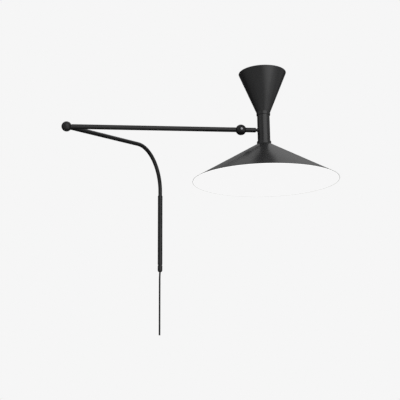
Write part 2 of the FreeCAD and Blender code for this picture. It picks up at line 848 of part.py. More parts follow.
def hub_block():
    """The block inside the neck that carries both lamp holders, and the screw that holds it."""
    half = size("block_height") / 2
    box = doc.addObject("Part::Box", "block_box")
    bind(box, "Length", size("block_length"))
    bind(box, "Width", size("block_width"))
    bind(box, "Height", size("block_height"))
    corner = Vector(-SIZES["block_back"], -SIZES["block_width"] / 2, -half.value)
    box.Placement = Placement(corner, Rotation())
    space = cylinder("block_space", size("neck_bore") - 0.02, 40, Vector(0, 0, -20))
    block = doc.addObject("Part::Common", "block_common")
    block.Base = box
    block.Tool = space
    seat = size("hub_screw_seat")
    thread = size("hub_screw_radius")
    hole_start = Vector(SIZES["hub_hole_start"], 0, 0)
    above = Vector(0, 0, SIZES["nipple_start"])
    nipple = size("nipple_radius")
    tools = [
        cylinder("block_screw_hole", thread, 30, hole_start, ALONG_X),
        cylinder("block_screw_seat", size("hub_seat_radius"), 10, Vector(seat.value, 0, 0), ALONG_X),
        cylinder("block_upper_thread", nipple, 10, above),
        cylinder("block_lower_thread", nipple, 10, -above, UPSIDE_DOWN),
    ]
    finished(without("hub_block", block, joined("block_tools", *tools)), "hub_block", head_frame)
    tip = size("hub_screw_tip")
    head, end = size("hub_head_radius"), size("hub_head_end")
    chamfer = size("hub_head_chamfer")
    key, key_floor = size("hub_key_radius"), end - size("hub_key_depth")
    turned("hub_screw", head_frame, [
        (0, tip),
        (thread - 0.01, tip),
        (thread - 0.01, seat),
        (head, seat),
        (head, end - chamfer),
        (head - chamfer, end),
        (key, end),
        (key, key_floor),
        (0, key_floor),
    ], ALONG_X)


def lamp(name, turn, lift):
    """Nipple, lamp holder, lamp cap and lamp glass; heights run outward from the arm's level."""
    thread = size("nipple_radius")
    back, front = size("holder_back") + lift, size("holder_front") + lift
    floor, cavity_floor = back + size("holder_floor"), back + size("holder_cavity")
    ring(f"nipple_{name}", head_frame, size("nipple_bore"), thread - 0.01, size("nipple_start"),
         floor, turn)
    outer = size("holder_radius")
    cap = size("lamp_cap_radius")
    cavity = cap + size("lamp_cap_gap")
    chamfer = size("holder_chamfer")
    turned(f"lamp_holder_{name}", head_frame, [
        (thread, back),
        (outer - chamfer, back),
        (outer, back + chamfer),
        (outer, front),
        (cavity, front),
        (cavity, cavity_floor),
        (0, cavity_floor),
        (0, floor),
        (thread, floor),
    ], turn)
    foot = cavity_floor + size("lamp_cap_gap")
    contact = size("lamp_cap_foot")
    cap_top = front + 1
    turned(f"lamp_cap_{name}", head_frame, [
        (0, foot),
        (contact, foot),
        (cap, foot + contact),
        (cap, cap_top),
        (0, cap_top),
    ], turn)
    globe = size("lamp_radius")
    centre = size("lamp_centre") + lift
    throat = size("lamp_throat")
    turned(f"lamp_glass_{name}", head_frame, [
        (0, cap_top),
        (cap, cap_top),
        (throat, centre - root(globe * globe - throat * throat)),
        (globe, centre, globe),
        (0, centre + globe, globe),
    ], turn)


def shade(name, turn, neck_end, foot_radius, foot_top, rim_radius, rim_level):
    """End bush, spun shade and the ring nut that clamps it; heights run outward."""
    wall = size("sheet")
    thread = size("thread_radius")
    spigot_end = neck_end + wall + size("ring_height") + 0.5
    bore = size("holder_radius") + size("fit_gap")
    hole = thread + size("fit_gap")
    bush_radius, bush_end = size("neck_bore") - 0.02, neck_end - size("bush_depth")
    turned(f"neck_bush_{name}", head_frame, [
        (bore, bush_end),
        (bush_radius, bush_end),
        (bush_radius, neck_end),
        (thread, neck_end),
        (thread, spigot_end),
        (bore, spigot_end),
    ], turn)
    widening = rim_radius - foot_radius
    rise = rim_level - foot_top
    slant = root(widening * widening + rise * rise)
    inset = wall * slant / rise
    inner_foot = foot_radius - wall
    inner_foot_top = foot_top + (inset - wall) * rise / widening
    turned(f"shade_{name}", head_frame, [
        (hole, neck_end),
        (foot_radius, neck_end),
        (foot_radius, foot_top),
        (rim_radius, rim_level),
        (rim_radius - inset, rim_level),
        (inner_foot, inner_foot_top),
        (inner_foot, neck_end + wall),
        (hole, neck_end + wall),
    ], turn)
    ring(f"shade_ring_{name}", head_frame, thread + 0.01, size("ring_radius"),
         neck_end + wall, neck_end + wall + size("ring_height"), turn)


def head():
    neck()
    hub_block()
    lamp("upper", None, size("upper_lamp_lift"))
    lamp("lower", UPSIDE_DOWN, as_size(0))
    shade("upper", None, size("neck_top"), size("upper_foot_radius"), size("upper_foot_top"),
          size("upper_rim_radius"), size("upper_rim_level"))
    shade("lower", UPSIDE_DOWN, -size("neck_bottom"), size("lower_foot_radius"),
          -size("lower_foot_bottom"), size("lower_rim_radius"), -size("lower_rim_level"))


# ---------------------------------------------------------------- build, test and write
def check_parts():
    """Stops if any object failed, or any sub-part is not one valid closed solid."""
    for thing in doc.Objects:
        if "Invalid" in thing.State or "Error" in thing.State:
            raise RuntimeError(f"{thing.Name} failed: {thing.State}")
    for part in parts:
        shape = part.Shape
        if shape.isNull() or not shape.isValid() or len(shape.Solids) != 1:
            raise RuntimeError(f"{part.Label} is not one valid solid: {len(shape.Solids)}")


def write_parts():
    os.makedirs("parts", exist_ok=True)
    for part in parts:
        part.Shape.exportStep(f"parts/{part.Label}.step")


wall_rail()
sleeve()
lock_screws()
sleeve_ends()
supply_cord()
bent_arm()
elbow()
level_arm()
knuckle()
swivel_pin()
head()
doc.recompute()
check_parts()
write_parts()
cord_length = SIZES["cap_bottom"] - SIZES["cord_end"]
print(f"{len(parts)} sub-parts, reach {reach.value:.1f} mm, cord {cord_length:.0f} mm, straight")
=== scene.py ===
"""The looks of the swing arm wall light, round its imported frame. Metres, +Z up, wall at y = 0."""
import json
import math

import bmesh
import bpy
from mathutils import Matrix, Vector


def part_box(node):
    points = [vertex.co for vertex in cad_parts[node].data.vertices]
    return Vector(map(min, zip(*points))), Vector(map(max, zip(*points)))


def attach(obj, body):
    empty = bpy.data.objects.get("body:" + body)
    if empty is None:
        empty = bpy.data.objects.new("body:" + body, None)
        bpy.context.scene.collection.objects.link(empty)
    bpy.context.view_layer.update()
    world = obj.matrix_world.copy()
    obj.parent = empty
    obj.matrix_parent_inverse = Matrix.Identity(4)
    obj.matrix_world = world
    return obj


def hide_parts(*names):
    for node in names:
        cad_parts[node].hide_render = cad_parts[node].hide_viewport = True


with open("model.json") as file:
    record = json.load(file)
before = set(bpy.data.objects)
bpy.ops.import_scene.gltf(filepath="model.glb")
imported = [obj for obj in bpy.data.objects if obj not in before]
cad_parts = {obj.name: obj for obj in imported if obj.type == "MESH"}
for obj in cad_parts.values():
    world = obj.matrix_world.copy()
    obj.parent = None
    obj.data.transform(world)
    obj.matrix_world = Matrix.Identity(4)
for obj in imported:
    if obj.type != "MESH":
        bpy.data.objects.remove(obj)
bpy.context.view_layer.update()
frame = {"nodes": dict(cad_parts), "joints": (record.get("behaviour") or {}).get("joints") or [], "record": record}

MM = 0.001
UP = Vector((0, 0, 1))

# ---------------------------------------------------------------- places taken from the frame
joints = {joint["name"]: joint for joint in frame["joints"]}
elbow = Vector(joints["elbow_swing"]["pos_m"])
knuckle = Vector(joints["head_tilt"]["pos_m"])
across_arm = Vector(joints["head_tilt"]["axis"])


def middle(node):
    low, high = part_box(node)
    return (low + high) / 2


sleeve_axis = Vector((middle("top_collar").x, middle("top_collar").y, 0))
head_centre = Vector((middle("shade_lower").x, middle("shade_lower").y, elbow.z))


def reach(node, origin, direction):
    """The nearest and furthest distance of a node from origin, along one of the frame's axes."""
    low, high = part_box(node)
    ends = sorted(((low - origin).dot(direction), (high - origin).dot(direction)))
    return ends[0], ends[1]


# ---------------------------------------------------------------- camera
def make_camera():
    """A long lens low in front of the light, looking up at it, square to the wall."""
    data = bpy.data.cameras.new("camera")
    data.sensor_width = 36.0
    data.lens = 63.76
    data.shift_x = 0.1007
    data.shift_y = -0.0003
    camera = bpy.data.objects.new("camera", data)
    camera.location = (-0.00185, -2.7513, -0.437)
    pitch, roll = math.radians(11.829), math.radians(0.157)
    turn = Matrix.Rotation(math.pi / 2 + pitch, 4, "X") @ Matrix.Rotation(roll, 4, "Z")
    camera.rotation_euler = turn.to_euler()
    bpy.context.scene.collection.objects.link(camera)
    bpy.context.scene.camera = camera


# ---------------------------------------------------------------- materials
class Nodes:
    """Builds a node material: add() makes a node, link() joins two sockets."""

    def __init__(self, name):
        self.material = bpy.data.materials.new(name)
        self.material.use_nodes = True
        self.tree = self.material.node_tree
        self.shader = self.tree.nodes["Principled BSDF"]

    def add(self, kind, **settings):
        node = self.tree.nodes.new(kind)
        for key, value in settings.items():
            if hasattr(node, key):
                setattr(node, key, value)
            else:
                node.inputs[key.replace("_", " ")].default_value = value
        return node

    def link(self, source, target):
        self.tree.links.new(source, target)

    def set(self, **values):
        for key, value in values.items():
            self.shader.inputs[key.replace("_", " ")].default_value = value

    def place(self):
        """Coordinates that move with the piece."""
        return self.add("ShaderNodeTexCoord").outputs["Object"]

    def noise(self, scale, detail=3.0, stretch=None):
        node = self.add("ShaderNodeTexNoise", Scale=scale, Detail=detail)
        vector = self.place()
        if stretch:
            mapping = self.add("ShaderNodeMapping")
            mapping.inputs["Scale"].default_value = stretch
            self.link(vector, mapping.inputs["Vector"])
            vector = mapping.outputs["Vector"]
        self.link(vector, node.inputs["Vector"])
        return node.outputs["Fac"]

    def spread(self, source, low, high, start=0.3, stop=0.7, smooth=False):
        """Maps a factor between start and stop to a number between low and high."""
        node = self.add("ShaderNodeMapRange")
        node.interpolation_type = "SMOOTHSTEP" if smooth else "LINEAR"
        node.inputs["From Min"].default_value = start
        node.inputs["From Max"].default_value = stop
        node.inputs["To Min"].default_value = low
        node.inputs["To Max"].default_value = high
        self.link(source, node.inputs["Value"])
        return node.outputs["Result"]

    def colours(self, source, first, second, start=0.3, stop=0.7):
        ramp = self.add("ShaderNodeValToRGB")
        ramp.color_ramp.elements[0].position = start
        ramp.color_ramp.elements[0].color = (*first, 1)
        ramp.color_ramp.elements[1].position = stop
        ramp.color_ramp.elements[1].color = (*second, 1)
        self.link(source, ramp.inputs["Fac"])
        return ramp.outputs["Color"]

    def mix(self, factor, first, second):
        node = self.add("ShaderNodeMix", data_type="RGBA")
        self.link(factor, node.inputs[0])
        self.link(first, node.inputs[6])
        node.inputs[7].default_value = (*second, 1)
        return node.outputs[2]

    def edge(self, radius):
        """A normal rounded over the piece's edges, and how much of an edge each spot is."""
        rounded_normal = self.add("ShaderNodeBevel", samples=8, Radius=radius).outputs["Normal"]
        flat_normal = self.add("ShaderNodeNewGeometry").outputs["Normal"]
        facing = self.add("ShaderNodeVectorMath", operation="DOT_PRODUCT")
        self.link(rounded_normal, facing.inputs[0])
        self.link(flat_normal, facing.inputs[1])
        return rounded_normal, self.spread(facing.outputs["Value"], 1.0, 0.0, 0.80, 0.95)

    def bump(self, height, strength, distance, normal=None):
        node = self.add("ShaderNodeBump")
        node.inputs["Strength"].default_value = strength
        node.inputs["Distance"].default_value = distance
        self.link(height, node.inputs["Height"])
        if normal:
            self.link(normal, node.inputs["Normal"])
        self.link(node.outputs["Normal"], self.shader.inputs["Normal"])


def enamel(name, colour, lighter, gloss, specular=0.5):
    """Satin enamel: a faint orange peel, uneven gloss, a little dust, and edges lighter, partly rubbed wear and
    partly a painted highlight.
    """
    n = Nodes(name)
    n.set(Specular_IOR_Level=specular)
    rounded_normal, edge = n.edge(0.35 * MM)
    base = n.colours(n.noise(14.0, 4.0), colour, lighter)
    # Lighter edges, patchy with noise: partly rubbed wear, partly a painted highlight along the rounded edges.
    edge_wear_and_highlight_mask = n.add("ShaderNodeMath", operation="MULTIPLY")
    n.link(edge, edge_wear_and_highlight_mask.inputs[0])
    n.link(n.spread(n.noise(120.0, 4.0), 0.0, 0.6, 0.4, 0.65), edge_wear_and_highlight_mask.inputs[1])
    rubbed_and_highlit_edge = tuple(2.4 * channel for channel in lighter)
    n.link(n.mix(edge_wear_and_highlight_mask.outputs["Value"], base, rubbed_and_highlit_edge), n.shader.inputs["Base Color"])
    n.link(n.spread(n.noise(60.0, 3.0), gloss - 0.02, gloss + 0.03), n.shader.inputs["Roughness"])
    n.bump(n.noise(900.0, 2.0), 0.06, 0.04 * MM, rounded_normal)
    return n.material


def painted_glow_enamel(name, colour, shaded, rim_painted_glow, neck_painted_glow, deep, wide, rim):
    """White enamel inside a shade, with painted light: its own emission stands in for its lamp's light, less round
    the neck, where it becomes painted shade, and less on the lip.
    """
    n = Nodes(name)
    flat = n.add("ShaderNodeVectorMath", operation="MULTIPLY")
    n.link(n.place(), flat.inputs[0])
    flat.inputs[1].default_value = (1, 1, 0)
    out = n.add("ShaderNodeVectorMath", operation="LENGTH")
    n.link(flat.outputs["Vector"], out.inputs[0])
    lip = n.spread(out.outputs["Value"], 0.0, 1.0, rim - 2.4 * MM, rim - 1.4 * MM)
    cloud = n.noise(9.0, 3.0)
    lip_tone = tuple(0.4 * channel for channel in shaded)
    n.link(n.mix(lip, n.colours(cloud, shaded, colour), lip_tone), n.shader.inputs["Base Color"])
    n.link(n.colours(cloud, (0.92, 0.92, 0.915), (0.94, 0.94, 0.935)),
           n.shader.inputs["Emission Color"])
    # Painted light: the emission is full near the rim and falls to a painted shade towards the neck.
    glow = n.spread(out.outputs["Value"], neck_painted_glow, rim_painted_glow, deep, wide, smooth=True)
    painted_glow_dimmed = n.add("ShaderNodeMath", operation="MULTIPLY")
    n.link(glow, painted_glow_dimmed.inputs[0])
    n.link(n.spread(lip, 1.0, 0.42, 0.0, 1.0), painted_glow_dimmed.inputs[1])
    n.link(painted_glow_dimmed.outputs["Value"], n.shader.inputs["Emission Strength"])
    n.link(n.spread(n.noise(60.0, 5.0), 0.4, 0.5), n.shader.inputs["Roughness"])
    n.bump(n.noise(900.0, 2.0), 0.15, 0.04 * MM)
    return n.material


def metal(name, colour, darker, gloss, grain=(40.0, 40.0, 900.0)):
    """Machined or plated metal with fine tool marks and a slightly clouded surface."""
    n = Nodes(name)
    n.set(Metallic=1.0)
    rounded_normal, edge = n.edge(0.3 * MM)
    marks = n.noise(12.0, 4.0, grain)
    base = n.colours(n.noise(90.0, 4.0), darker, colour)
    # Brighter edges: partly worn metal, partly a painted highlight.
    worn_and_highlit_edge = tuple(min(1.0, 1.3 * channel) for channel in colour)
    n.link(n.mix(edge, base, worn_and_highlit_edge), n.shader.inputs["Base Color"])
    n.link(n.spread(marks, gloss - 0.07, gloss + 0.1), n.shader.inputs["Roughness"])
    n.bump(marks, 0.12, 0.03 * MM, rounded_normal)
    return n.material


def moulded(name, colour, lighter, gloss, grain=1400.0, specular=0.5):
    """Moulded plastic or rubber with a fine even texture."""
    n = Nodes(name)
    n.set(Specular_IOR_Level=specular)
    rounded_normal, _ = n.edge(0.3 * MM)
    n.link(n.colours(n.noise(30.0, 4.0), colour, lighter), n.shader.inputs["Base Color"])
    n.link(n.spread(n.noise(220.0, 3.0), gloss - 0.05, gloss + 0.06), n.shader.inputs["Roughness"])
    n.bump(n.noise(grain, 2.0), 0.2, 0.04 * MM, rounded_normal)
    return n.material


def opal(name, glow):
    """Opal lamp glass, lit: an even warm white with a faint milky cloud."""
    n = Nodes(name)
    cloud = n.noise(55.0, 3.0)
    tone = n.colours(cloud, (0.95, 0.86, 0.74), (0.97, 0.90, 0.80))
    n.link(tone, n.shader.inputs["Base Color"])
    n.link(tone, n.shader.inputs["Emission Color"])
    n.link(n.spread(cloud, 0.12, 0.2), n.shader.inputs["Roughness"])
    n.set(Emission_Strength=glow)
    n.bump(n.noise(300.0, 2.0), 0.05, 0.02 * MM)
    return n.material


black_paint = enamel("black_enamel", (0.020, 0.020, 0.021), (0.028, 0.028, 0.029), 0.26)
# A darker, less glossy copy of the black enamel: painted shade on the tubes, joints, sleeve, collar and cap.
painted_shade_enamel = enamel("black_enamel_painted_shade", (0.012, 0.012, 0.0125), (0.018, 0.018, 0.0185), 0.28, 0.4)
# White enamel that glows by itself: painted light in place of its lamp's light.
white_wide = painted_glow_enamel("white_enamel_painted_glow_wide", (0.60, 0.60, 0.595), (0.57, 0.57, 0.565),
                        0.92, 0.06, 28 * MM, 92 * MM, 235 * MM)
white_narrow = painted_glow_enamel("white_enamel_painted_glow_narrow", (0.60, 0.60, 0.595), (0.57, 0.57, 0.565),
                          0.42, 0.06, 20 * MM, 75 * MM, 78.3 * MM)
dark_steel = metal("dark_steel", (0.36, 0.36, 0.37), (0.26, 0.26, 0.27), 0.28)
blackened = metal("blackened_steel", (0.05, 0.05, 0.052), (0.035, 0.035, 0.036), 0.34)
zinc = metal("zinc_plate", (0.62, 0.63, 0.65), (0.48, 0.49, 0.52), 0.33)
brass = metal("brass", (0.74, 0.55, 0.25), (0.6, 0.43, 0.18), 0.3)
copper = metal("copper", (0.85, 0.48, 0.30), (0.72, 0.36, 0.22), 0.32)
aluminium = metal("aluminium", (0.78, 0.78, 0.79), (0.66, 0.66, 0.68), 0.36)
bearing = moulded("bearing_plastic", (0.022, 0.022, 0.022), (0.032, 0.032, 0.032), 0.4)
thermoset = moulded("thermoset", (0.018, 0.018, 0.018), (0.028, 0.027, 0.027), 0.38)
rubber = moulded("grip_rubber", (0.014, 0.014, 0.014), (0.024, 0.024, 0.024), 0.6)
sheath = moulded("cable_sheath", (0.004, 0.004, 0.0045), (0.008, 0.008, 0.0085), 0.55, 2200.0, 0.25)
core_brown = moulded("core_brown", (0.16, 0.07, 0.035), (0.20, 0.09, 0.05), 0.4)
core_blue = moulded("core_blue", (0.03, 0.10, 0.32), (0.04, 0.13, 0.38), 0.4)
core_earth = moulded("core_earth", (0.22, 0.42, 0.05), (0.55, 0.52, 0.06), 0.4)
opal_glass = opal("opal_glass", 0.30)

SLOT_MATERIALS = {
    "black_paint": black_paint,
    "shade_paint": black_paint,
    "black_screw": dark_steel,
    "zinc_steel": zinc,
    "bearing_plastic": bearing,
    "grip_rubber": rubber,
    "cord_sheath": sheath,
    "nipple_brass": brass,
    "holder_plastic": thermoset,
    "lamp_cap_metal": aluminium,
    "opal_glass": opal_glass,
    "bare_aluminium": aluminium,
}


# Nodes that take their material from here rather than their slot; all but the swivel pin take the darker copy of
# the black enamel, painted shade.
NODE_MATERIALS = {
    "sleeve": painted_shade_enamel,
    "bent_tube": painted_shade_enamel,
    "arm_tube": painted_shade_enamel,
    "elbow_upper_half": painted_shade_enamel,
    "elbow_lower_half": painted_shade_enamel,
    "elbow_cover": painted_shade_enamel,
    "knuckle_rear_half": painted_shade_enamel,
    "knuckle_front_half": painted_shade_enamel,
    "knuckle_cover": painted_shade_enamel,
    "swivel_pin": blackened,
}


def paint_cad_nodes():
    """Gives every carried-over CAD node the material of its slot, except the nodes in NODE_MATERIALS, which take
    theirs from that table.
    """
    slots = {part["node"]: part["material_slot"] for part in frame["record"]["subparts"]}
    for name, node in frame["nodes"].items():
        node.data.materials.clear()
        node.data.materials.append(NODE_MATERIALS.get(name, SLOT_MATERIALS[slots[name]]))


# ---------------------------------------------------------------- turned pieces
def rounded(corners, radius, steps=5):
    """An outline with its corners rounded; a corner is (r, z), or (r, z, its own radius)."""
    points = []
    for index, corner in enumerate(corners):
        here = Vector(corner[:2])
        bend = corner[2] if len(corner) == 3 else radius
        before = Vector(corners[index - 1][:2]) - here
        after = Vector(corners[(index + 1) % len(corners)][:2]) - here
        half = before.angle(after) / 2
        if bend <= 0 or half > math.radians(89):
            points.append(here)
            continue
        back = min(bend / math.tan(half), before.length * 0.45, after.length * 0.45)
        start, end = here + before.normalized() * back, here + after.normalized() * back
        for step in range(steps + 1):
            t = step / steps
            points.append(start * (1 - t) ** 2 + here * 2 * t * (1 - t) + end * t ** 2)
    return points


def arc(centre, radius, start, stop, steps):
    """Points of an outline round a centre, from one angle in degrees to another."""
    points = []
    for step in range(steps + 1):
        angle = math.radians(start + (stop - start) * step / steps)
        points.append((centre[0] + radius * math.cos(angle), centre[1] + radius * math.sin(angle), 0))
    return points


def add_piece(name, vertices, faces, kinds, materials, origin, direction, body, sharp=32.0):
    """Makes a piece from a mesh that is written along +Z, and turns it to direction at origin."""
    mesh = bpy.data.meshes.new(name)
    mesh.from_pydata(vertices, [], faces)
    for material in materials:
        mesh.materials.append(material)
    mesh.polygons.foreach_set("material_index", kinds)
    work = bmesh.new()
    work.from_mesh(mesh)
    bmesh.ops.remove_doubles(work, verts=work.verts, dist=0.001 * MM)
    bmesh.ops.recalc_face_normals(work, faces=work.faces)
    work.to_mesh(mesh)
    work.free()
    mesh.polygons.foreach_set("use_smooth", [True] * len(mesh.polygons))
    mesh.set_sharp_from_angle(angle=math.radians(sharp))
    piece = bpy.data.objects.new(name, mesh)
    turn = Vector(direction).to_track_quat("Z", "Y").to_matrix().to_4x4()
    piece.matrix_world = Matrix.Translation(origin) @ turn
    bpy.context.scene.collection.objects.link(piece)
    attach(piece, body)
    return piece


def lathe(name, corners, origin, direction, body, slot, materials, radius=0.4 * MM, inside=None,
          segments=96, ribs=None):
    """Turns a closed outline of (radius, height). ribs is (how many, depth, from what radius)."""
    points = rounded(corners, radius)
    count = len(points)
    vertices, faces, kinds = [], [], []
    for step in range(segments):
        angle = 2 * math.pi * step / segments
        for point in points:
            out = point.x
            if ribs and out > ribs[2]:
                out -= ribs[1] * (0.5 - 0.5 * math.cos(ribs[0] * angle))
            vertices.append((out * math.cos(angle), out * math.sin(angle), point.y))
    for step in range(segments):
        for index in range(count):
            low, high = points[index], points[(index + 1) % count]
            if low.x < 1e-7 and high.x < 1e-7:
                continue
            first, second = step * count, (step + 1) % segments * count
            after = (index + 1) % count
            faces.append((first + index, second + index, second + after, first + after))
            kinds.append(1 if inside and inside((low + high) / 2) else 0)
    return add_piece(name, vertices, faces, kinds, materials, origin, direction, body)


# ---------------------------------------------------------------- screws with hexagon sockets
def socket_screw(name, node, body, origin, direction, outline, across_flats, depth):
    """A turned screw whose head has a hexagon socket; the outline runs from tip to head."""
    steps = 48
    corners = rounded(outline, 0.25 * MM)
    top = corners[-1].y
    rings = [[(p.x, p.y)] * steps for p in corners]
    hexagon = []
    for step in range(steps):
        off = (2 * math.pi * step / steps) % (math.pi / 3) - math.pi / 6
        hexagon.append(across_flats / 2 / math.cos(off))
    rings.append([(out + 0.15 * MM, top) for out in hexagon])
    rings.append([(out, top - 0.2 * MM) for out in hexagon])
    rings.append([(out, top - depth) for out in hexagon])
    vertices, faces = [], []
    for ring in rings:
        for step, (out, height) in enumerate(ring):
            angle = 2 * math.pi * step / steps
            vertices.append((out * math.cos(angle), out * math.sin(angle), height))
    for ring in range(len(rings) - 1):
        for step in range(steps):
            after = (step + 1) % steps
            low, high = ring * steps, (ring + 1) * steps
            faces.append((low + step, low + after, high + after, high + step))
    for ring, height in ((0, corners[0].y), (len(rings) - 1, top - depth * 1.15)):
        centre = len(vertices)
        vertices.append((0, 0, height))
        for step in range(steps):
            faces.append((ring * steps + step, ring * steps + (step + 1) % steps, centre))
    screw = add_piece(name, vertices, faces, [0] * len(faces), [dark_steel], origin, direction,
                      body, 25.0)
    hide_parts(node)


def pivot_screw(name, node, body, origin, direction):
    """The button-headed screw of a ball joint, in its recess."""
    tip, head_top = reach(node, origin, direction)
    seat, head, shank, chamfer = 10.5 * MM, 5.0 * MM, 3.0 * MM, 0.4 * MM
    button_drop, button_inset, button_round, flat = 1.6 * MM, 1.4 * MM, 0.8 * MM, 0.5 * MM
    socket_screw(name, node, body, origin, direction, [
        (shank - chamfer, tip, 0),
        (shank, tip + chamfer, 0),
        (shank, seat, 0),
        (head, seat),
        (head, head_top - button_drop, button_round),
        (head - button_inset, head_top, button_round),
        (head - button_inset - flat, head_top, 0),
    ], across_flats=3.0 * MM, depth=2.0 * MM)


def lock_screws():
    """Four grub screws in the rail's flanges."""
    point, chamfer, set_back = 0.6 * MM, 0.4 * MM, 0.1 * MM
    for level in ("upper", "lower"):
        for side, sign in (("left", -1), ("right", 1)):
            node = f"lock_screw_{level}_{side}"
            low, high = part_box(node)
            centre = (low + high) / 2
            origin = Vector((0, centre.y, centre.z))
            tip, end = reach(node, origin, Vector((sign, 0, 0)))
            radius = (high.z - low.z) / 2
            socket_screw(f"grub_{level}_{side}", node, "wall_mount", origin, (sign, 0, 0), [
                (radius - point, tip, 0),
                (radius, tip + point, 0),
                (radius, end - set_back - chamfer, 0),
                (radius - chamfer, end - set_back, 0),
                (radius - point, end - set_back, 0),
            ], across_flats=2.0 * MM, depth=1.8 * MM)


def neck_screw():
    """The screw through the neck's outer side that holds the lamp block."""
    direction = Vector((1, 0, 0))
    tip, end = reach("hub_screw", head_centre, direction)
    head, shank, head_height = 3.8 * MM, 2.0 * MM, 2.6 * MM
    bevel, edge_round, flat = 0.9 * MM, 0.5 * MM, 0.4 * MM
    socket_screw("neck_screw", "hub_screw", "head", head_centre, direction, [
        (shank, tip, 0),
        (shank, end - head_height, 0),
        (head, end - head_height),
        (head, end - bevel, edge_round),
        (head - bevel, end, edge_round),
        (head - bevel - flat, end, 0),
    ], across_flats=2.5 * MM, depth=1.6 * MM)


# ---------------------------------------------------------------- sleeve ends and supply cord
SLEEVE_BORE = 7.6 * MM
CAP_MOUTH = 4.4 * MM
GRIP_TOP = 6.2 * MM


def wall_lathe(name, node, corners, slot, material):
    """Turns a piece on the sleeve's axis, in place of a CAD node."""
    piece = lathe(name, corners, sleeve_axis, UP, "wall_mount", slot, [material])
    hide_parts(node)


def top_collar():
    """The collar on top of the sleeve, chamfered where it meets it."""
    low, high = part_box("top_collar")
    radius = (high.x - low.x) / 2
    chamfer = 0.5 * MM
    wall_lathe("collar_rounded", "top_collar", [
        (SLEEVE_BORE, low.z),
        (radius - chamfer, low.z, 0.1 * MM),
        (radius, low.z + chamfer),
        (radius, high.z, 1.0 * MM),
        (SLEEVE_BORE, high.z),
    ], "black_paint", painted_shade_enamel)


def bottom_cap():
    """The domed cap under the sleeve, which the lead leaves."""
    low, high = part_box("bottom_cap")
    radius = (high.x - low.x) / 2
    chamfer, lip, rise = 0.5 * MM, 0.4 * MM, 8.0 * MM
    seam, shoulder = -125.0 * MM, low.z + rise
    width = radius - CAP_MOUTH
    dome = arc((CAP_MOUTH, 0), width, -88, -8, 10)
    wall_lathe("cap_rounded", "bottom_cap", [
        (CAP_MOUTH, low.z, 0.2 * MM),
        (CAP_MOUTH + lip, low.z, 0.2 * MM),
        *[(out, shoulder + drop * rise / width, 0) for out, drop, _ in dome],
        (radius, seam - chamfer),
        (radius - chamfer, seam, 0.1 * MM),
        (SLEEVE_BORE, seam, 0),
        (SLEEVE_BORE, high.z),
        (GRIP_TOP, high.z),
    ], "black_paint", painted_shade_enamel)


def cord_grip():
    """The tapered rubber grip in the cap's mouth, with a small lip round the lead."""
    low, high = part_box("cord_grip")
    lead_low, lead_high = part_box("supply_cord")
    lead = (lead_high.x - lead_low.x) / 2
    wall_lathe("grip_lip", "cord_grip", [
        (lead, low.z, 0.2 * MM),
        (CAP_MOUTH - 0.2 * MM, low.z, 0.4 * MM),
        (CAP_MOUTH, low.z + 1.5 * MM, 0),
        (GRIP_TOP, high.z),
        (lead, high.z),
    ], "grip_rubber", rubber)


def supply_cord():
    """The bare lead below the cap: plumb and straight, leaning on one side of the grip's mouth."""
    low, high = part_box("supply_cord")
    radius = (high.x - low.x) / 2
    x, y = sleeve_axis.x, sleeve_axis.y
    lean, length = 1.2 * MM, 0.24
    heights = [-0.1495, -0.1600, -0.2100, -0.2700, -0.3300, -0.3890]
    data = bpy.data.curves.new("supply_lead", "CURVE")
    data.dimensions = "3D"
    spline = data.splines.new("NURBS")
    spline.points.add(len(heights) - 1)
    for point, height in zip(spline.points, heights):
        point.co = (x - lean, y, height, 1)
    spline.points[0].co.x = x
    spline.order_u = 3
    spline.use_endpoint_u = True
    data.bevel_depth = radius
    data.bevel_resolution = 8
    data.use_fill_caps = True
    data.materials.append(sheath)
    cord = bpy.data.objects.new("supply_lead", data)
    bpy.context.scene.collection.objects.link(cord)
    cores = lead_cores(x - lean, y, heights[-1], low.z)
    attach(cord, "wall_mount")
    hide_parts("supply_cord")


def lead_cores(x, y, top, bottom):
    """The three cores in the lead's cut end, each with its copper strands."""
    cores = []
    start, bare = -1.0 * MM, 0.15 * MM
    depth = top - bottom
    insulation, copper_radius, ring_radius = 1.15 * MM, 0.6 * MM, 1.45 * MM
    colours = (("brown", core_brown), ("blue", core_blue), ("earth", core_earth))
    for index, (name, material) in enumerate(colours):
        angle = 2 * math.pi * index / len(colours)
        place = Vector((x + ring_radius * math.cos(angle), y + ring_radius * math.sin(angle), top))
        cores.append(lathe(f"lead_core_{name}", [
            (0, start, 0),
            (insulation, start, 0),
            (insulation, depth - bare, 0.1 * MM),
            (copper_radius, depth - bare, 0),
            (copper_radius, depth, 0.1 * MM),
            (0, depth, 0),
        ], place, -UP, "wall_mount", "cord_sheath", [material, copper],
            inside=lambda p: p.x <= copper_radius and p.y > 0, segments=24))
    return cores


# ---------------------------------------------------------------- shades, lamp holders and lamps
class End:
    """One end of the head: heights are measured outward from the arm's level."""

    def __init__(self, name, direction, foot_radius, foot_top, white):
        self.name = name
        self.direction = direction
        self.foot_radius = foot_radius
        self.foot_top = foot_top
        self.white = white

    def reach(self, node):
        return reach(f"{node}_{self.name}", head_centre, self.direction)

    def lathe(self, label, node, corners, slot, materials, **options):
        piece = lathe(f"{self.name}_{label}", corners, head_centre, self.direction, "head", slot,
                      materials, **options)
        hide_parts(f"{node}_{self.name}")


